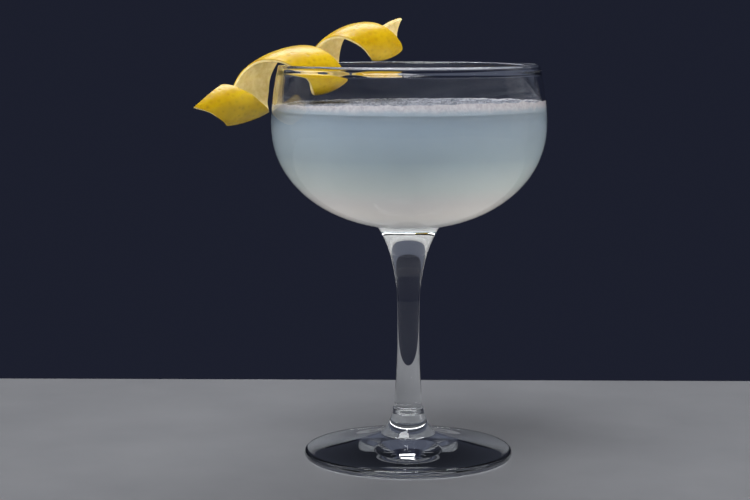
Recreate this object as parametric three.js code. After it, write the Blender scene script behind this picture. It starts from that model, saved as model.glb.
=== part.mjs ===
// Gin cocktail in a stemmed coupe: glass, cloudy drink, foam and a curl of lemon peel on the rim.
// Millimetres, +Z up, origin at the centre of the foot's underside, the peel hangs over the -X side.
import * as THREE from "three";

// Bowl, measured on the outside
const GLASS_HEIGHT = 142;
const BELLY_RADIUS = 49.2;
const BELLY_Z = 120.6;
const UPPER_REACH = 64.7;
const BOWL_DEPTH = 37.4;
const BOWL_POWER = 2.08;

// Glass thickness in the wall, in the rounded rim and under the drink
const WALL = 1.5;
const RIM_WIDTH = 2.2;
const RIM_FADE = 2.7;
const BOWL_FLOOR = 3.1;

// Foot: a shallow hollowed cone with a rounded edge and a flat underside
const FOOT_RADIUS = 37.8;
const FOOT_EDGE = 3;
const FOOT_ROUND = 1.2;
const FOOT_POWER = 1.6;

// Stem from the foot to the bowl as radius and height, with a small collar low down
const STEM = [
  [10, 8.4], [8.3, 10.6], [6.8, 13], [5.9, 15.6], [5.6, 17.6], [5.05, 18.6], [4.9, 22.5], [4.4, 31],
  [4.02, 41], [4, 52], [4.25, 61], [5.2, 67.4], [6.7, 74], [8.4, 78.6], [10.1, 82.2], [11.4, 84.1],
];

// Contents: a clear gap to the glass, the top of the drink, the foam and how far it climbs the wall
const GAP = 0.3;
const DRINK_TOP = 126.5;
const FOAM_LEVEL = 128.3;
const FOAM_CLIMB = 0.8;
const FOAM_CLIMB_SWING = 0.55;
const FOAM_CLIMB_SIDE = -Math.PI / 4;
const FOAM_CLIMB_REACH = 2.2;
const FOAM_SWELL = 0.12;
const FOAM_SWELL_TURN = 0.2;
const FOAM_RINGS = [1, 0.985, 0.96, 0.92, 0.8, 0.6, 0.4, 0.2, 0];

// Lemon peel: a strip wound round a bowed axis from beside the glass, over the rim, to the back rim.
// Values in threes hold at the start, the middle and the end of the strip.
const PEEL_START = new THREE.Vector3(-70.95, -22.65, 127.2);
const PEEL_END = new THREE.Vector3(-4.15, 42.45, 153.65);
const PEEL_BOW = new THREE.Vector3(0.35, 0.2, -0.9);
const PEEL_FIRST_ANGLE = 41.8;
const PEEL_TURNS = 2.703;
const PEEL_TURN_SHIFT = -0.315;
const PEEL_RADIUS = [7.5, 10.7, 6.5];
const PEEL_HALF_WIDTH = [10.25, 8.4, 7.55];
const PEEL_TILT = [0.08, 0, 0.12];
const PEEL_CROWN = [0.44, 0.87, 1.08];
const PEEL_FIRST_SLANT = -0.027;
const PEEL_THICKNESS = 1.5;

// Fineness of the meshes
const AROUND = 48;
const ARC_STEPS = 6;
const STEM_STEPS = 24;
const OUTSIDE_STEPS = [12, 5];
const INSIDE_STEPS = [14, 8];
const DRINK_SIDE_STEPS = 3;
const PEEL_STEPS = 84;
const PEEL_ACROSS = 6;

const steps = (count) => Array.from({ length: count + 1 }, (_, i) => i / count);

// Outside radius of the bowl above its belly
const upperRadius = (z) => BELLY_RADIUS * Math.sqrt(1 - ((z - BELLY_Z) / UPPER_REACH) ** 2);

// Points of the rounded underpart of the bowl, from a radius near the axis out to the belly
function underBowl(radius, depth, fromRadius, count) {
  const sineShare = (fromRadius / radius) ** (BOWL_POWER / 2);
  const first = Math.asin(sineShare);
  return steps(count).map((t) => {
    const angle = first + (Math.PI / 2 - first) * t;
    const r = radius * Math.sin(angle) ** (2 / BOWL_POWER);
    const drop = depth * Math.max(Math.cos(angle), 0) ** (2 / BOWL_POWER);
    return new THREE.Vector2(r, BELLY_Z - drop);
  });
}

// Inside radius of the bowl above its belly, drawn in where the wall thickens to the rim
function insideRadius(z) {
  const rimStart = GLASS_HEIGHT - RIM_WIDTH / 2;
  const thicken = THREE.MathUtils.smoothstep(z, rimStart - RIM_FADE, rimStart);
  return upperRadius(z) - THREE.MathUtils.lerp(WALL, RIM_WIDTH, thicken);
}

function footEdge() {
  return steps(ARC_STEPS).map((t) => {
    const angle = Math.PI * (t - 0.5);
    const r = FOOT_RADIUS - FOOT_ROUND * (1 - Math.cos(angle));
    return new THREE.Vector2(r, (FOOT_EDGE / 2) * (1 + Math.sin(angle)));
  });
}

function footTop() {
  const outer = FOOT_RADIUS - FOOT_ROUND;
  const [inner, top] = STEM[0];
  return steps(ARC_STEPS).slice(1, -1).map((t) => {
    const z = FOOT_EDGE + (top - FOOT_EDGE) * t ** FOOT_POWER;
    return new THREE.Vector2(THREE.MathUtils.lerp(outer, inner, t), z);
  });
}

function stem() {
  const curve = new THREE.SplineCurve(STEM.map(([r, z]) => new THREE.Vector2(r, z)));
  return curve.getPoints(STEM_STEPS).slice(0, -1);
}

function rim() {
  const half = RIM_WIDTH / 2;
  const z = GLASS_HEIGHT - half;
  const middle = upperRadius(z) - half;
  return steps(ARC_STEPS).map((t) => {
    const angle = Math.PI * t;
    return new THREE.Vector2(middle + half * Math.cos(angle), z + half * Math.sin(angle));
  });
}

function glassProfile() {
  const rimZ = GLASS_HEIGHT - RIM_WIDTH / 2;
  const outsideTop = steps(OUTSIDE_STEPS[1]).slice(1, -1).map((t) => {
    const z = THREE.MathUtils.lerp(BELLY_Z, rimZ, t);
    return new THREE.Vector2(upperRadius(z), z);
  });
  const insideTop = steps(INSIDE_STEPS[1]).slice(1, -1).map((t) => {
    const z = THREE.MathUtils.lerp(rimZ, BELLY_Z, t);
    return new THREE.Vector2(insideRadius(z), z);
  });
  const stemTop = STEM[STEM.length - 1][0];
  return [
    new THREE.Vector2(0, 0),
    ...footEdge(),
    ...footTop(),
    ...stem(),
    ...underBowl(BELLY_RADIUS, BOWL_DEPTH, stemTop, OUTSIDE_STEPS[0]),
    ...outsideTop,
    ...rim(),
    ...insideTop,
    ...underBowl(BELLY_RADIUS - WALL, BOWL_DEPTH - BOWL_FLOOR, 0, INSIDE_STEPS[0]).reverse(),
  ];
}

function drinkProfile() {
  const radius = BELLY_RADIUS - WALL - GAP;
  const side = steps(DRINK_SIDE_STEPS).slice(1).map((t) => {
    const z = THREE.MathUtils.lerp(BELLY_Z, DRINK_TOP, t);
    return new THREE.Vector2(insideRadius(z) - GAP, z);
  });
  return [
    ...underBowl(radius, BOWL_DEPTH - BOWL_FLOOR - GAP, 0, INSIDE_STEPS[0]),
    ...side,
    new THREE.Vector2(0, DRINK_TOP),
  ];
}

function foamProfile() {
  const bottom = DRINK_TOP + GAP;
  const edge = insideRadius(FOAM_LEVEL) - GAP;
  return [
    new THREE.Vector2(0, bottom),
    new THREE.Vector2(insideRadius(bottom) - GAP, bottom),
    ...FOAM_RINGS.map((share) => new THREE.Vector2(edge * share, FOAM_LEVEL)),
  ];
}

// Foam surface: climbs the wall, most at the front right, and swells gently elsewhere
function raiseFoam(geometry) {
  const place = geometry.attributes.position;
  const edge = insideRadius(FOAM_LEVEL) - GAP;
  for (let i = 0; i < place.count; i += 1) {
    const x = place.getX(i);
    const y = place.getY(i);
    const z = place.getZ(i);
    if (z > FOAM_LEVEL - GAP) {
      const r = Math.hypot(x, y);
      const climb = FOAM_CLIMB + FOAM_CLIMB_SWING * Math.cos(Math.atan2(y, x) - FOAM_CLIMB_SIDE);
      const swell = FOAM_SWELL * Math.sin(FOAM_SWELL_TURN * x) * Math.cos(FOAM_SWELL_TURN * y);
      place.setZ(i, z + swell + climb * Math.exp((r - edge) / FOAM_CLIMB_REACH));
    }
  }
  geometry.computeVertexNormals();
  return geometry;
}

function turned(profile) {
  return new THREE.LatheGeometry(profile, AROUND).rotateX(Math.PI / 2);
}

// Value along the strip that passes through its start, middle and end values
function along([start, middle, end], s) {
  return start * (1 - s) * (1 - 2 * s) + 4 * middle * s * (1 - s) + end * s * (2 * s - 1);
}

// Point of the peel: s along the strip, v across it from -1 to 1, depth below the zest
function peelPoint(s, v, depth) {
  const q = s + PEEL_FIRST_SLANT * (1 - s) ** 3 * v;
  const axis = new THREE.Vector3().lerpVectors(PEEL_START, PEEL_END, q);
  axis.addScaledVector(PEEL_BOW, 4 * q * (1 - q));
  const run = new THREE.Vector3().subVectors(PEEL_END, PEEL_START);
  run.addScaledVector(PEEL_BOW, 4 - 8 * q).normalize();
  const top = new THREE.Vector3(0, 0, 1);
  top.addScaledVector(run, -run.z).normalize();
  const side = new THREE.Vector3().crossVectors(run, top);
  const turn = PEEL_TURNS * (q + PEEL_TURN_SHIFT * q * (1 - q));
  const angle = THREE.MathUtils.degToRad(PEEL_FIRST_ANGLE) + 2 * Math.PI * turn;
  const outward = top.multiplyScalar(Math.cos(angle)).addScaledVector(side, Math.sin(angle));
  const offset = along(PEEL_HALF_WIDTH, q) * v;
  const lift = along(PEEL_TILT, q) * offset - along(PEEL_CROWN, q) * v * v;
  axis.addScaledVector(outward, along(PEEL_RADIUS, q) + lift - depth);
  return axis.addScaledVector(run, offset);
}

// A flat strip wound into the curl: its length runs along X, its width along Y, its zest faces +Z
function peelStrip() {
  const strip = new THREE.BoxGeometry(1, 2, PEEL_THICKNESS, PEEL_STEPS, PEEL_ACROSS, 1);
  const place = strip.attributes.position;
  for (let i = 0; i < place.count; i += 1) {
    const depth = PEEL_THICKNESS / 2 - place.getZ(i);
    const point = peelPoint(place.getX(i) + 0.5, place.getY(i), depth);
    place.setXYZ(i, point.x, point.y, point.z);
  }
  strip.computeVertexNormals();
  return strip;
}

function named(name, geometry, look) {
  const mesh = new THREE.Mesh(geometry, new THREE.MeshStandardMaterial(look));
  mesh.name = name;
  return mesh;
}

const part = new THREE.Group();
part.name = "gin_cocktail";
part.add(
  named("glass", turned(glassProfile()), { color: 0xeaf0f2, roughness: 0.03, metalness: 0 }),
  named("drink", turned(drinkProfile()), { color: 0xa9b3b6, roughness: 0.3, metalness: 0 }),
  named("foam", raiseFoam(turned(foamProfile())), { color: 0xd8dad8, roughness: 0.7, metalness: 0 }),
  named("lemon_twist", peelStrip(), { color: 0xd8a92c, roughness: 0.5, metalness: 0 }),
);

export default part;
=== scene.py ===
"""Gin cocktail in a stemmed coupe with a curl of lemon peel, dressed around its solid model."""
import math

import bpy
import numpy as np
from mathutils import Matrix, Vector, kdtree, noise


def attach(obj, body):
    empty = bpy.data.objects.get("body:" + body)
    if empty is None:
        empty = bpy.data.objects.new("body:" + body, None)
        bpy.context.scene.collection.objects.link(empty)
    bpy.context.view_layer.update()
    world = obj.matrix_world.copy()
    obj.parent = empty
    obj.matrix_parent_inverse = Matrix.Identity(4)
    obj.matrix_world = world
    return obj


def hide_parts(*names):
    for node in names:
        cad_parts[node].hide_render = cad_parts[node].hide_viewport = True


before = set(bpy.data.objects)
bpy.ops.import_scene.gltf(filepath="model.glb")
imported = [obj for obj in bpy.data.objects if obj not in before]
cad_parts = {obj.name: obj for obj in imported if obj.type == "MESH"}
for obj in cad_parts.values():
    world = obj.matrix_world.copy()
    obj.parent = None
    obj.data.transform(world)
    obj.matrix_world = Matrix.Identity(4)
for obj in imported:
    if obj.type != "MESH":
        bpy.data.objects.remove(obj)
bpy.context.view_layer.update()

# Lengths of the object are in millimetres, those of the stage in metres
MM = 0.001
SEED = 7

# Bowl, measured on the outside
GLASS_HEIGHT = 142.0
BELLY_RADIUS = 49.2
BELLY_Z = 120.6
UPPER_REACH = 64.7
BOWL_DEPTH = 37.4
BOWL_POWER = 2.08

# Glass thickness in the wall, in the rounded rim and under the drink
WALL = 1.5
RIM_WIDTH = 2.2
RIM_FADE = 2.7
BOWL_FLOOR = 3.1

# Foot: a shallow hollowed cone with a rounded edge and a flat underside
FOOT_RADIUS = 37.8
FOOT_EDGE = 3.0
FOOT_ROUND = 1.2
FOOT_POWER = 1.6

# Stem from the foot to the bowl as radius and height, with a small collar low down
STEM = (
    (10, 8.4), (8.3, 10.6), (6.8, 13), (5.9, 15.6), (5.6, 17.6), (5.05, 18.6), (4.9, 22.5), (4.4, 31),
    (4.02, 41), (4, 52), (4.25, 61), (5.2, 67.4), (6.7, 74), (8.4, 78.6), (10.1, 82.2), (11.4, 84.1),
)

# Contents: how far they reach into the wall, the drink's top, the foam and its climb up the wall
INTO_WALL = 0.12
DRINK_TOP = 126.7
FOAM_BOTTOM = 125.9
FOAM_INTO_WALL = 0.16
FOAM_LEVEL = 127.6
FOAM_CLIMB = 0.9
FOAM_CLIMB_SWING = 1.1
FOAM_CLIMB_SIDE = -0.3 * math.pi
FOAM_CLIMB_REACH = 2.2
FOAM_SWELL = 0.12
FOAM_SWELL_TURN = 0.2

# Froth: relief as height and fineness, on the whole foam and by the wall, and how far each is sunk
FROTH = ((0.18, 0.9), (0.12, 2.1))
FROTH_SINK = 0.15
WALL_FROTH = ((0.9, 0.22), (0.5, 0.7))
WALL_FROTH_SINK = 0.7
FROTH_LAYER = 3.1

# Bubbles: their number and radii, the share by the wall and its spread, their patches and their depth
BUBBLES = 3500
BUBBLE_RADIUS = (0.22, 0.75)
BUBBLE_RADIUS_POWER = 3
BUBBLE_WALL_SHARE = 0.5
BUBBLE_WALL_SPREAD = 5.0
BUBBLE_PATCH_TURN = 0.16
BUBBLE_PATCH_LAYER = 0.7
BUBBLE_COVER = 0.55
BUBBLE_SINK = 0.25
BUBBLE_LOWEST_ANGLE = -0.35

# Lemon peel: a strip wound round a bowed axis from beside the glass, over the rim, to the back rim.
# Values in threes hold at the start, the middle and the end of the strip.
PEEL_START = np.array((-70.95, -22.65, 127.2))
PEEL_END = np.array((-4.15, 42.45, 153.65))
PEEL_BOW = np.array((0.35, 0.2, -0.9))
PEEL_FIRST_ANGLE = 41.8
PEEL_TURNS = 2.703
PEEL_TURN_SHIFT = -0.315
PEEL_RADIUS = (7.5, 10.7, 6.5)
PEEL_HALF_WIDTH = (10.25, 8.4, 7.55)
PEEL_TILT = (0.08, 0, 0.12)
PEEL_CROWN = (0.44, 0.87, 1.08)
PEEL_FIRST_SLANT = -0.027
PEEL_THICKNESS = 1.5

# Cut edges of the peel: waves as size, turn and shift, and how far they reach in and are rounded
PEEL_WAVES = ((0.02, 46, 1.0), (0.015, 97, 0.0))
PEEL_EDGE_POWER = 4
PEEL_EDGE_ROUND = 0.22

# Pores of the zest: their spacing, how much it and their size and strength vary, and their depth
PORE_SPACING = 2.0
PORE_GAP = (0.6, 1.5)
PORE_SIZE = (0.15, 0.4)
PORE_STRENGTH = (0.2, 1.0)
PORE_DEPTH = 0.12

# Fineness of the meshes; pairs follow the outline from the foot over the rim and on to the middle
AROUND = 192
FOOT_STEPS = (20, 40)
STEM_STEPS = 10
OUTSIDE_STEPS = (70, 24)
RIM_STEPS = 18
INSIDE_STEPS = (40, 80)
DRINK_SIDE_STEPS = 10
FOAM_AROUND = 256
FOAM_EDGE_BAND = 6
FOAM_RINGS = (24, 70)
BUBBLE_AROUND = 8
BUBBLE_RINGS = 4
PEEL_STEPS = 520
PEEL_ACROSS = 46
PEEL_DEPTH_STEPS = 5
SHARP_ANGLE = 50

# Colours: ramps are pairs of place and colour
GLASS_COLOUR = (0.985, 0.99, 0.99)
GLASS_SHADE = (0.94, 0.95, 0.96)
GLASS_IOR = 1.5
# Drink's blue-grey tone by height, painted near white at the bottom as a painted glow of light from
# below
DRINK_TONE_AND_PAINTED_GLOW = (
    (0.0, (0.97, 0.96, 0.95)),
    (0.12, (0.91, 0.875, 0.845)),
    (0.24, (0.68, 0.668, 0.665)),
    (0.37, (0.505, 0.552, 0.555)),
    (0.6, (0.31, 0.37, 0.41)),
    (0.93, (0.245, 0.30, 0.36)),
    (1.0, (0.31, 0.38, 0.45)),
)
# Foam's flat top is painted darker than the foam by the wall: painted shade for the dimly lit flat top
FOAM_TOP_PAINTED_SHADE = ((0.36, (0.125, 0.14, 0.18)), (0.62, (0.36, 0.375, 0.43)))
FOAM_WALL_COLOURS = ((0.3, (0.33, 0.32, 0.35)), (0.62, (0.47, 0.455, 0.48)))
FOAM_LOW_COLOUR = (0.27, 0.32, 0.37)
ZEST_COLOURS = ((0.32, (0.52, 0.315, 0.002)), (0.66, (0.645, 0.43, 0.005)))
PORE_COLOUR = (0.44, 0.265, 0.003)
PITH_COLOURS = ((0.3, (0.66, 0.52, 0.20)), (0.7, (0.84, 0.72, 0.38)))
FLOOR_COLOURS = ((0.3, (0.18, 0.185, 0.20)), (0.7, (0.20, 0.205, 0.22)))
BACKDROP = (0.012, 0.014, 0.026)

# Patterns in the materials as scale, detail and roughness
DRINK_HAZE = (60.0, 3.0, 0.5)
FOAM_GRAIN = (900.0, 4.0, 0.65)
FOAM_PATCHES = (150.0, 3.0, 0.55)
FOAM_WAVES = (220.0, 3.0, 0.6)
ZEST_PATCHES = (130.0, 3.0, 0.5)
PITH_FIBRES = (420.0, 4.0, 0.6)
FLOOR_GRAIN = (25.0, 4.0, 0.5)

# How strongly the patterns show, how far light spreads, and bumps as depth and strength
HAZE_SHARE = 0.06
PATCH_SHARE = 0.5
DRINK_SPREAD = 25
PEEL_SPREAD = 1.2
FOAM_BUMP = (0.4, 0.5)
FIBRE_BUMP = (0.15, 0.35)

# Foam's flat top is painted darker than the foam within a reach of the wall, as painted shade; by the
# wall it fades into the drink over a height with an uneven border
FOAM_WALL_REACH = 2.0
FOAM_FADE = 2.6
FOAM_FADE_BORDER = (0.65, 1.5)
FOAM_ROUGHNESS = 0.6
BUBBLE_ROUGHNESS = 0.25

# Zest gives way to pith over these shares of the peel's thickness; its gloss goes with it
ZEST_TO_PITH = (0.12, 0.45)
PEEL_ROUGHNESS = (0.36, 0.75)
PEEL_SHEEN = (0.75, 0.2)

# Floor: left, right, front and back edges, and how far it lies below the foot
FLOOR_EDGES = (-0.75, 0.75, -0.75, 0.143)
FLOOR_DROP = 0.0003

# Camera: distance in front of the stem, height, the angles it is turned by and the lens
CAMERA_PLACE = (0, -0.66315, 0.15792)
CAMERA_DOWN = 7.095
CAMERA_LEFT = 1.045
CAMERA_LENS = 88.96
CAMERA_SENSOR = 36

# Soft lights, all turned to the bowl: name, place, size, power, mirrored in the glass or not, and tint
WHITE = (1, 1, 1)
WARM = (1, 0.94, 0.86)
COOL = (0.68, 0.76, 1)
LIGHT_TARGET = (0, 0, 0.11)
LIGHTS = (
    ("key_soft", (-0.14, -0.25, 0.85), (0.45, 0.45), 5.5, True, WHITE),
    ("top_soft", (0.05, 0.35, 0.8), (0.6, 0.3), 3.8, True, WHITE),
    ("back_card", (0, 1.1, 0.6), (3.2, 0.6), 0.6, True, COOL),
    ("front_fill", (0, -1.4, 0.08), (1.8, 0.14), 11.5, False, WHITE),
    ("back_low", (0, 0.8, -0.15), (1.2, 0.4), 10.0, False, WHITE),
    ("left_card", (-0.75, 0.15, 0.1), (0.3, 0.6), 0.06, True, WHITE),
    ("left_fill", (-1.3, -0.15, 0.08), (0.9, 0.14), 9.2, False, WARM),
    ("right_card", (0.75, 0.15, 0.1), (0.3, 0.6), 0.06, True, WHITE),
    ("right_fill", (1.3, -0.15, 0.08), (0.9, 0.14), 12.0, False, WARM),
)


def smoothstep(value, low, high):
    share = np.clip((value - low) / (high - low), 0, 1)
    return share * share * (3 - 2 * share)


def upper_radius(z):
    """Outside radius of the bowl above its belly."""
    return BELLY_RADIUS * np.sqrt(1 - ((z - BELLY_Z) / UPPER_REACH) ** 2)


def inside_radius(z):
    """Inside radius above the belly, drawn in where the wall thickens to the rim."""
    rim_start = GLASS_HEIGHT - RIM_WIDTH / 2
    thicken = smoothstep(z, rim_start - RIM_FADE, rim_start)
    return upper_radius(z) - WALL - (RIM_WIDTH - WALL) * thicken


def under_bowl(radius, depth, from_radius, count):
    """Points of the rounded underpart of the bowl, from near the axis out to the belly."""
    first = math.asin((from_radius / radius) ** (BOWL_POWER / 2))
    angle = np.linspace(first, math.pi / 2, count + 1)
    r = radius * np.sin(angle) ** (2 / BOWL_POWER)
    drop = depth * np.maximum(np.cos(angle), 0) ** (2 / BOWL_POWER)
    return np.column_stack((r, BELLY_Z - drop))


def smooth_curve(points, steps):
    """Smooth curve through points, with an equal number of steps between each pair."""
    points = np.asarray(points, float)
    padded = np.vstack((points[:1], points, points[-1:]))
    share = np.arange(steps)[:, None] / steps
    rows = []
    for before, here, after, beyond in zip(padded, padded[1:], padded[2:], padded[3:]):
        leave = (after - before) / 2
        arrive = (beyond - here) / 2
        square = share * share
        cube = square * share
        rows.append(
            (2 * cube - 3 * square + 1) * here + (cube - 2 * square + share) * leave
            + (3 * square - 2 * cube) * after + (cube - square) * arrive
        )
    return np.vstack(rows)


def arc(centre, radii, first, last, count):
    """Points of an arc between two angles in degrees."""
    angle = np.radians(np.linspace(first, last, count + 1))
    return np.column_stack((centre[0] + radii[0] * np.cos(angle), centre[1] + radii[1] * np.sin(angle)))


def side_wall(radius_at, low, high, count):
    """Points between two heights of a wall, without its ends."""
    z = np.linspace(low, high, count + 1)[1:-1]
    return np.column_stack((radius_at(z), z))


def foot_top(count):
    """Points of the hollowed cone between the foot's edge and the stem, without its ends."""
    share = np.linspace(0, 1, count + 1)[1:-1]
    outer = FOOT_RADIUS - FOOT_ROUND
    inner, top = STEM[0]
    r = outer + (inner - outer) * share
    z = FOOT_EDGE + (top - FOOT_EDGE) * share ** FOOT_POWER
    return np.column_stack((r, z))


def glass_profile():
    rim_z = GLASS_HEIGHT - RIM_WIDTH / 2
    rim_middle = upper_radius(rim_z) - RIM_WIDTH / 2
    foot_edge_centre = (FOOT_RADIUS - FOOT_ROUND, FOOT_EDGE / 2)
    return np.vstack((
        (0, 0),
        arc(foot_edge_centre, (FOOT_ROUND, FOOT_EDGE / 2), -90, 90, FOOT_STEPS[0]),
        foot_top(FOOT_STEPS[1]),
        smooth_curve(STEM, STEM_STEPS),
        under_bowl(BELLY_RADIUS, BOWL_DEPTH, STEM[-1][0], OUTSIDE_STEPS[0]),
        side_wall(upper_radius, BELLY_Z, rim_z, OUTSIDE_STEPS[1]),
        arc((rim_middle, rim_z), (RIM_WIDTH / 2, RIM_WIDTH / 2), 0, 180, RIM_STEPS),
        side_wall(inside_radius, rim_z, BELLY_Z, INSIDE_STEPS[0]),
        under_bowl(BELLY_RADIUS - WALL, BOWL_DEPTH - BOWL_FLOOR, 0, INSIDE_STEPS[1])[::-1],
    ))


def drink_profile():
    reach = WALL - INTO_WALL
    depth = BOWL_DEPTH - BOWL_FLOOR + INTO_WALL
    top_radius = inside_radius(DRINK_TOP) + INTO_WALL
    return np.vstack((
        under_bowl(BELLY_RADIUS - reach, depth, 0, INSIDE_STEPS[1]),
        side_wall(lambda z: inside_radius(z) + INTO_WALL, BELLY_Z, DRINK_TOP, DRINK_SIDE_STEPS),
        (top_radius, DRINK_TOP),
        (0, DRINK_TOP),
    ))


def mesh_object(name, points, faces, material):
    """Mesh piece from points in millimetres, smooth shaded, riding on the glass."""
    mesh = bpy.data.meshes.new(name)
    mesh.from_pydata((np.asarray(points) * MM).tolist(), [], faces)
    mesh.polygons.foreach_set("use_smooth", np.ones(len(mesh.polygons), bool))
    mesh.set_sharp_from_angle(angle=math.radians(SHARP_ANGLE))
    mesh.materials.append(material)
    mesh.update()
    piece = bpy.data.objects.new(name, mesh)
    bpy.context.collection.objects.link(piece)
    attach(piece, "root")
    return piece


def turned_mesh(profile, around):
    """Points and faces of a profile turned about the upright axis, closed on the axis at both ends."""
    rings = profile[1:-1]
    angle = np.linspace(0, 2 * math.pi, around, endpoint=False)
    r = rings[:, :1]
    z = np.repeat(rings[:, 1:], around, axis=1)
    points = np.stack((r * np.cos(angle), r * np.sin(angle), z), axis=2).reshape(-1, 3)
    first = len(points)
    points = np.vstack((points, (0, 0, profile[0][1]), (0, 0, profile[-1][1])))
    faces = []
    for ring in range(len(rings) - 1):
        for i in range(around):
            j = (i + 1) % around
            low = ring * around
            high = low + around
            faces.append((low + i, low + j, high + j, high + i))
    last_ring = (len(rings) - 1) * around
    for i in range(around):
        j = (i + 1) % around
        faces.append((first, j, i))
        faces.append((last_ring + i, last_ring + j, first + 1))
    return points, faces


def along(values, s):
    """Value along the strip that passes through its start, middle and end values."""
    start, middle, end = values
    return start * (1 - s) * (1 - 2 * s) + 4 * middle * s * (1 - s) + end * s * (2 * s - 1)


def unit(vectors):
    return vectors / np.linalg.norm(vectors, axis=-1, keepdims=True)


def peel_points(s, v, depth):
    """Points of the peel: s along the strip, v across it from -1 to 1, depth below the zest."""
    q = (s + PEEL_FIRST_SLANT * (1 - s) ** 3 * v)[..., None]
    axis = PEEL_START * (1 - q) + PEEL_END * q + PEEL_BOW * 4 * q * (1 - q)
    run = unit(PEEL_END - PEEL_START + PEEL_BOW * (4 - 8 * q))
    up = np.array((0.0, 0.0, 1.0))
    top = unit(up - run * run[..., 2:])
    side = np.cross(run, top)
    turn = PEEL_TURNS * (q + PEEL_TURN_SHIFT * q * (1 - q))
    angle = math.radians(PEEL_FIRST_ANGLE) + 2 * math.pi * turn
    outward = top * np.cos(angle) + side * np.sin(angle)
    across = v[..., None]
    offset = along(PEEL_HALF_WIDTH, q) * across
    lift = along(PEEL_TILT, q) * offset - along(PEEL_CROWN, q) * across ** 2
    return axis + outward * (along(PEEL_RADIUS, q) + lift - depth[..., None]) + run * offset


def new_material(name):
    material = bpy.data.materials.new(name)
    material.use_nodes = True
    tree = material.node_tree
    return material, tree, tree.nodes["Principled BSDF"]


def colour_ramp(tree, value, stops):
    """Colour that follows a value through stops of place and colour."""
    ramp = tree.nodes.new("ShaderNodeValToRGB")
    elements = ramp.color_ramp.elements
    while len(elements) < len(stops):
        elements.new(0.5)
    for element, (place, colour) in zip(elements, stops):
        element.position = place
        element.color = (*colour, 1)
    tree.links.new(value, ramp.inputs["Fac"])
    return ramp.outputs["Color"]


def map_range(tree, value, source, target=(0.0, 1.0), smooth=False):
    """Value carried from one range to another and held at its ends."""
    node = tree.nodes.new("ShaderNodeMapRange")
    if smooth:
        node.interpolation_type = "SMOOTHSTEP"
    node.inputs["From Min"].default_value = source[0]
    node.inputs["From Max"].default_value = source[1]
    node.inputs["To Min"].default_value = target[0]
    node.inputs["To Max"].default_value = target[1]
    tree.links.new(value, node.inputs["Value"])
    return node.outputs["Result"]


def height_share(tree, low, high):
    """Share from 0 to 1 of the height between two levels in millimetres."""
    place = tree.nodes.new("ShaderNodeTexCoord")
    parts = tree.nodes.new("ShaderNodeSeparateXYZ")
    tree.links.new(place.outputs["Object"], parts.inputs[0])
    return map_range(tree, parts.outputs["Z"], (low * MM, high * MM))


def wall_share(tree, reach):
    """Share from 0 to 1 of the last stretch of the foam before the wall, in millimetres."""
    edge = inside_radius(FOAM_LEVEL)
    place = tree.nodes.new("ShaderNodeTexCoord")
    flat = tree.nodes.new("ShaderNodeVectorMath")
    flat.operation = "MULTIPLY"
    flat.inputs[1].default_value = (1, 1, 0)
    span = tree.nodes.new("ShaderNodeVectorMath")
    span.operation = "LENGTH"
    tree.links.new(place.outputs["Object"], flat.inputs[0])
    tree.links.new(flat.outputs["Vector"], span.inputs[0])
    return map_range(tree, span.outputs["Value"], ((edge - reach) * MM, edge * MM))


def noise_texture(tree, pattern):
    scale, detail, roughness = pattern
    place = tree.nodes.new("ShaderNodeTexCoord")
    texture = tree.nodes.new("ShaderNodeTexNoise")
    texture.inputs["Scale"].default_value = scale
    texture.inputs["Detail"].default_value = detail
    texture.inputs["Roughness"].default_value = roughness
    tree.links.new(place.outputs["Object"], texture.inputs["Vector"])
    return texture.outputs["Fac"]


def stored_value(tree, name):
    """Value stored under a name on the points of the mesh."""
    node = tree.nodes.new("ShaderNodeAttribute")
    node.attribute_name = name
    return node.outputs["Fac"]


def mixed_colour(tree, factor, first, second, blend="MIX"):
    """Mix of two colours; each of the three values is a number, a colour or an output of the tree."""
    mix = tree.nodes.new("ShaderNodeMix")
    mix.data_type = "RGBA"
    mix.blend_type = blend
    # Share, first colour and second colour
    sockets = (mix.inputs[0], mix.inputs[6], mix.inputs[7])
    for socket, value in zip(sockets, (factor, first, second)):
        if isinstance(value, bpy.types.NodeSocket):
            tree.links.new(value, socket)
        elif isinstance(value, tuple):
            socket.default_value = (*value, 1)
        else:
            socket.default_value = value
    return mix.outputs[2]


def bump(tree, shader, height, size):
    """Bumps that follow a height, with their depth in millimetres and strength."""
    depth, strength = size
    node = tree.nodes.new("ShaderNodeBump")
    node.inputs["Strength"].default_value = strength
    node.inputs["Distance"].default_value = depth * MM
    tree.links.new(height, node.inputs["Height"])
    tree.links.new(node.outputs["Normal"], shader.inputs["Normal"])


def glass_material():
    """Clear glass that lets light through to the drink and the floor."""
    material = bpy.data.materials.new("clear_glass")
    material.use_nodes = True
    tree = material.node_tree
    tree.nodes.clear()
    output = tree.nodes.new("ShaderNodeOutputMaterial")
    mix = tree.nodes.new("ShaderNodeMixShader")
    path = tree.nodes.new("ShaderNodeLightPath")
    clear = tree.nodes.new("ShaderNodeBsdfTransparent")
    clear.inputs["Color"].default_value = (*GLASS_SHADE, 1)
    body = tree.nodes.new("ShaderNodeBsdfGlass")
    body.inputs["Color"].default_value = (*GLASS_COLOUR, 1)
    body.inputs["Roughness"].default_value = 0.0
    body.inputs["IOR"].default_value = GLASS_IOR
    tree.links.new(path.outputs["Is Shadow Ray"], mix.inputs["Fac"])
    tree.links.new(body.outputs[0], mix.inputs[1])
    tree.links.new(clear.outputs[0], mix.inputs[2])
    tree.links.new(mix.outputs[0], output.inputs["Surface"])
    return material


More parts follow.
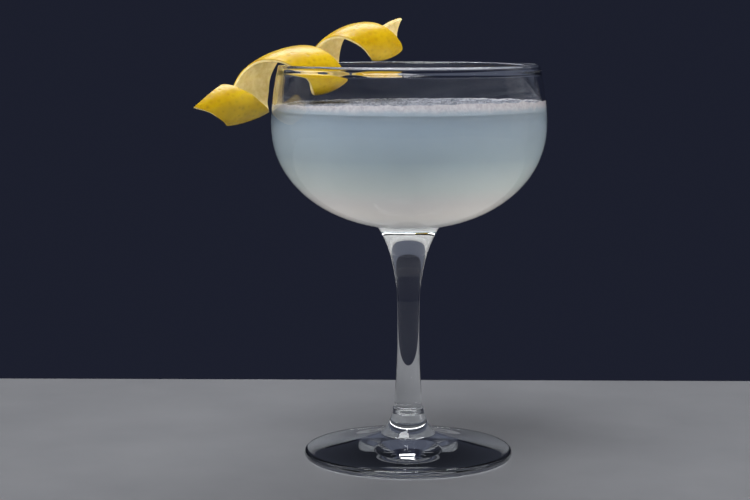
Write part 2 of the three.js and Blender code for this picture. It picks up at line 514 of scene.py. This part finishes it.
def drink_material():
    """Cloudy liquid, blue-grey at the top and painted paler towards the bottom, a painted glow of light
    from below.
    """
    material, tree, shader = new_material("cloudy_drink")
    share = height_share(tree, BELLY_Z - BOWL_DEPTH + BOWL_FLOOR, DRINK_TOP)
    # painted glow: the drink is painted paler towards its bottom, standing in for light from below
    body = colour_ramp(tree, share, DRINK_TONE_AND_PAINTED_GLOW)
    haze = noise_texture(tree, DRINK_HAZE)
    colour = mixed_colour(tree, HAZE_SHARE, body, haze, "OVERLAY")
    tree.links.new(colour, shader.inputs["Base Color"])
    shader.inputs["Roughness"].default_value = 0.5
    shader.inputs["Specular IOR Level"].default_value = 0.0
    shader.inputs["Subsurface Weight"].default_value = 1.0
    shader.inputs["Subsurface Radius"].default_value = (1.0, 1.0, 1.0)
    shader.inputs["Subsurface Scale"].default_value = DRINK_SPREAD * MM
    return material


def foam_material(name, roughness):
    """Grainy foam, patchy on top, with painted shade darkening its flat top and paler by the wall, where
    it fades into the drink below it.
    """
    material, tree, shader = new_material(name)
    grain = noise_texture(tree, FOAM_GRAIN)
    clusters = mixed_colour(tree, PATCH_SHARE, grain, noise_texture(tree, FOAM_PATCHES))
    # painted shade: the foam's flat top gets darker colours than the foam by the wall
    shaded_top = colour_ramp(tree, clusters, FOAM_TOP_PAINTED_SHADE)
    wall_band = colour_ramp(tree, grain, FOAM_WALL_COLOURS)
    uneven = tree.nodes.new("ShaderNodeMath")
    uneven.operation = "ADD"
    tree.links.new(height_share(tree, FOAM_BOTTOM, FOAM_BOTTOM + FOAM_FADE), uneven.inputs[0])
    tree.links.new(noise_texture(tree, FOAM_WAVES), uneven.inputs[1])
    fade = map_range(tree, uneven.outputs[0], FOAM_FADE_BORDER, smooth=True)
    side = mixed_colour(tree, fade, FOAM_LOW_COLOUR, wall_band)
    colour = mixed_colour(tree, wall_share(tree, FOAM_WALL_REACH), shaded_top, side)
    tree.links.new(colour, shader.inputs["Base Color"])
    shader.inputs["Roughness"].default_value = roughness
    shader.inputs["Specular IOR Level"].default_value = 0.3
    bump(tree, shader, grain, FOAM_BUMP)
    return material


def peel_material():
    """Waxy zest on the outside, pale pith inside, told apart by the depth stored on the mesh."""
    material, tree, shader = new_material("lemon_peel")
    zest = colour_ramp(tree, noise_texture(tree, ZEST_PATCHES), ZEST_COLOURS)
    pitted = mixed_colour(tree, stored_value(tree, "pore"), zest, PORE_COLOUR)
    fibres = noise_texture(tree, PITH_FIBRES)
    pith = colour_ramp(tree, fibres, PITH_COLOURS)
    layer = map_range(tree, stored_value(tree, "depth"), ZEST_TO_PITH, smooth=True)
    tree.links.new(mixed_colour(tree, layer, pitted, pith), shader.inputs["Base Color"])
    roughness = map_range(tree, layer, (0.0, 1.0), PEEL_ROUGHNESS)
    tree.links.new(roughness, shader.inputs["Roughness"])
    sheen = map_range(tree, layer, (0.0, 1.0), PEEL_SHEEN)
    tree.links.new(sheen, shader.inputs["Specular IOR Level"])
    shader.inputs["Subsurface Weight"].default_value = 0.25
    shader.inputs["Subsurface Radius"].default_value = (1.0, 0.7, 0.2)
    shader.inputs["Subsurface Scale"].default_value = PEEL_SPREAD * MM
    bump(tree, shader, fibres, FIBRE_BUMP)
    return material


def floor_material():
    material, tree, shader = new_material("pale_floor")
    colour = colour_ramp(tree, noise_texture(tree, FLOOR_GRAIN), FLOOR_COLOURS)
    tree.links.new(colour, shader.inputs["Base Color"])
    shader.inputs["Roughness"].default_value = 0.8
    shader.inputs["Specular IOR Level"].default_value = 0.1
    return material


def make_glass():
    points, faces = turned_mesh(glass_profile(), AROUND)
    piece = mesh_object("coupe_glass", points, faces, glass_material())
    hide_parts("glass")


def make_drink():
    points, faces = turned_mesh(drink_profile(), AROUND)
    piece = mesh_object("cloudy_drink", points, faces, drink_material())
    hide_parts("drink")


def foam_height(x, y):
    """Height of the foam's surface: it climbs the wall and swells gently elsewhere."""
    r = np.hypot(x, y)
    edge = inside_radius(FOAM_LEVEL)
    climb = FOAM_CLIMB + FOAM_CLIMB_SWING * np.cos(np.arctan2(y, x) - FOAM_CLIMB_SIDE)
    swell = FOAM_SWELL * np.sin(FOAM_SWELL_TURN * x) * np.cos(FOAM_SWELL_TURN * y)
    return FOAM_LEVEL + swell + climb * np.exp((r - edge) / FOAM_CLIMB_REACH)


def froth(x, y, waves):
    """Uneven height over the foam's surface, from waves of a height and a fineness."""
    total = np.zeros(len(x))
    for height, fineness in waves:
        places = ((a * fineness, b * fineness, FROTH_LAYER) for a, b in zip(x, y))
        total += height * np.array([0.5 + 0.5 * noise.noise(place) for place in places])
    return total


def make_foam():
    edge = inside_radius(FOAM_LEVEL) + FOAM_INTO_WALL
    bottom_radius = inside_radius(FOAM_BOTTOM) + FOAM_INTO_WALL
    edge_rings = edge - np.linspace(0, FOAM_EDGE_BAND, FOAM_RINGS[0])
    inner_rings = np.linspace(edge - FOAM_EDGE_BAND, 0, FOAM_RINGS[1])[1:]
    rings = np.concatenate((edge_rings, inner_rings))
    profile = np.vstack((
        (0, FOAM_BOTTOM),
        (bottom_radius, FOAM_BOTTOM),
        np.column_stack((rings, np.full(len(rings), FOAM_LEVEL))),
    ))
    points, faces = turned_mesh(profile, FOAM_AROUND)
    top = points[:, 2] > (FOAM_BOTTOM + FOAM_LEVEL) / 2
    x = points[top, 0]
    y = points[top, 1]
    by_wall = np.exp((np.hypot(x, y) - edge) / FOAM_CLIMB_REACH)
    uneven = by_wall * (froth(x, y, WALL_FROTH) - WALL_FROTH_SINK)
    points[top, 2] = foam_height(x, y) + froth(x, y, FROTH) + uneven - FROTH_SINK
    piece = mesh_object("foam_layer", points, faces, foam_material("foam", FOAM_ROUGHNESS))
    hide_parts("foam")


def dome(around, rings):
    """Points and faces of a unit bubble that is open below."""
    angle = np.linspace(0, 2 * math.pi, around, endpoint=False)
    points = []
    for level in np.linspace(BUBBLE_LOWEST_ANGLE, math.pi / 2, rings + 1)[:-1]:
        ring = np.column_stack((np.cos(angle), np.sin(angle), np.full(around, math.tan(level))))
        points.append(ring * math.cos(level))
    points = np.vstack((*points, (0, 0, 1)))
    faces = []
    for ring in range(rings - 1):
        for i in range(around):
            j = (i + 1) % around
            low = ring * around
            faces.append((low + i, low + j, low + around + j, low + around + i))
    last_ring = (rings - 1) * around
    for i in range(around):
        faces.append((last_ring + i, last_ring + (i + 1) % around, rings * around))
    return points, faces


def make_bubbles():
    """Small bubbles on the foam, thicker along the wall and in patches."""
    rng = np.random.default_rng(SEED)
    edge = inside_radius(FOAM_LEVEL)
    smallest, largest = BUBBLE_RADIUS
    shape, shape_faces = dome(BUBBLE_AROUND, BUBBLE_RINGS)
    points = []
    faces = []
    while len(points) < BUBBLES:
        angle = rng.uniform(0, 2 * math.pi)
        size = smallest + (largest - smallest) * rng.random() ** BUBBLE_RADIUS_POWER
        reach = edge - size
        if rng.random() < BUBBLE_WALL_SHARE:
            inward = rng.exponential(BUBBLE_WALL_SPREAD)
        else:
            inward = reach * (1 - math.sqrt(rng.random()))
        r = reach - inward
        if r < 0:
            continue
        x = r * math.cos(angle)
        y = r * math.sin(angle)
        patch = noise.noise((x * BUBBLE_PATCH_TURN, y * BUBBLE_PATCH_TURN, BUBBLE_PATCH_LAYER))
        if rng.random() > BUBBLE_COVER + patch:
            continue
        z = float(foam_height(x, y)) - BUBBLE_SINK * size
        start = len(points) * len(shape)
        points.append(shape * size + (x, y, z))
        faces.extend(tuple(start + k for k in face) for face in shape_faces)
    material = foam_material("foam_bubble", BUBBLE_ROUGHNESS)
    piece = mesh_object("foam_bubbles", np.vstack(points), faces, material)


def pore_depths(points):
    """Share from 0 to 1 of how deep each point of the zest lies in a pore."""
    rng = np.random.default_rng(SEED)
    order = rng.permutation(len(points))
    tree = kdtree.KDTree(len(points))
    for index in order:
        tree.insert(points[index], int(index))
    tree.balance()
    blocked = np.zeros(len(points), bool)
    depth = np.zeros(len(points))
    for index in order:
        if blocked[index]:
            continue
        size = PORE_SPACING * rng.uniform(*PORE_SIZE)
        strength = rng.uniform(*PORE_STRENGTH)
        gap = PORE_SPACING * rng.uniform(*PORE_GAP)
        for _, other, distance in tree.find_range(points[index], gap):
            blocked[other] = True
            depth[other] = max(depth[other], strength * math.exp(-(distance / size) ** 2))
    return depth


def make_peel():
    s = np.linspace(0, 1, PEEL_STEPS + 1)
    across = np.linspace(-1, 1, PEEL_ACROSS + 1)
    down = np.linspace(0, 1, PEEL_DEPTH_STEPS + 1)[1:-1]
    loop_v = np.concatenate((across, np.ones(len(down)), across[::-1], -np.ones(len(down))))
    loop_depth = np.concatenate((np.zeros(len(across)), down, np.ones(len(across)), down[::-1]))
    grid_s, grid_v = np.meshgrid(s, loop_v, indexing="ij")
    grid_depth = np.broadcast_to(loop_depth, grid_s.shape)
    wobble = sum(size * np.sin(turn * grid_s + shift) for size, turn, shift in PEEL_WAVES)
    edge = np.abs(grid_v) ** PEEL_EDGE_POWER
    soft_edge = PEEL_EDGE_ROUND * edge * (1 - 2 * grid_depth)
    zest = peel_points(grid_s, grid_v, np.zeros(grid_s.shape))
    pores = np.zeros(grid_s.shape)
    on_top = loop_depth == 0
    pores[:, on_top] = pore_depths(zest[:, on_top].reshape(-1, 3)).reshape(len(s), -1)
    sunk = grid_depth * PEEL_THICKNESS + soft_edge + PORE_DEPTH * pores
    points = peel_points(grid_s, grid_v * (1 + wobble * edge), sunk)
    count = len(loop_v)
    faces = []
    for i in range(PEEL_STEPS):
        for k in range(count):
            n = (k + 1) % count
            faces.append((i * count + k, (i + 1) * count + k, (i + 1) * count + n, i * count + n))
    faces.append(tuple(range(count)))
    faces.append(tuple(PEEL_STEPS * count + k for k in reversed(range(count))))
    piece = mesh_object("lemon_peel", points.reshape(-1, 3), faces, peel_material())
    for name, values in (("depth", grid_depth), ("pore", pores)):
        layer = piece.data.attributes.new(name, "FLOAT", "POINT")
        layer.data.foreach_set("value", values.ravel().astype(np.float32))
    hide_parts("lemon_twist")


def make_floor():
    mesh = bpy.data.meshes.new("floor")
    left, right, front, back = FLOOR_EDGES
    corners = [(left, front, 0), (right, front, 0), (right, back, 0), (left, back, 0)]
    mesh.from_pydata(corners, [], [(0, 1, 2, 3)])
    mesh.materials.append(floor_material())
    floor = bpy.data.objects.new("floor", mesh)
    floor.location.z = -FLOOR_DROP
    bpy.context.collection.objects.link(floor)


def add_light(name, place, size, power, mirrored, tint):
    """Soft light; one that isn't mirrored lights the drink and the peel without showing in the glass."""
    light = bpy.data.lights.new(name, "AREA")
    light.shape = "RECTANGLE"
    light.size, light.size_y = size
    light.energy = power
    light.color = tint
    lamp = bpy.data.objects.new(name, light)
    lamp.location = place
    lamp.rotation_euler = (Vector(LIGHT_TARGET) - Vector(place)).to_track_quat("-Z", "Y").to_euler()
    lamp.visible_camera = False
    lamp.visible_glossy = mirrored
    lamp.visible_transmission = mirrored
    bpy.context.collection.objects.link(lamp)


def make_camera():
    camera = bpy.data.cameras.new("camera")
    camera.lens = CAMERA_LENS
    camera.sensor_width = CAMERA_SENSOR
    viewer = bpy.data.objects.new("camera", camera)
    viewer.location = CAMERA_PLACE
    viewer.rotation_euler = (math.radians(90 - CAMERA_DOWN), 0, math.radians(CAMERA_LEFT))
    bpy.context.collection.objects.link(viewer)
    bpy.context.scene.camera = viewer


def make_stage():
    scene = bpy.context.scene
    scene.view_settings.view_transform = "Standard"
    world = bpy.data.worlds.new("studio")
    world.use_nodes = True
    backdrop = world.node_tree.nodes["Background"]
    backdrop.inputs["Color"].default_value = (*BACKDROP, 1)
    backdrop.inputs["Strength"].default_value = 1.0
    scene.world = world
    for light in LIGHTS:
        add_light(*light)
    make_camera()


make_stage()
make_floor()
make_glass()
make_drink()
make_foam()
make_bubbles()
make_peel()
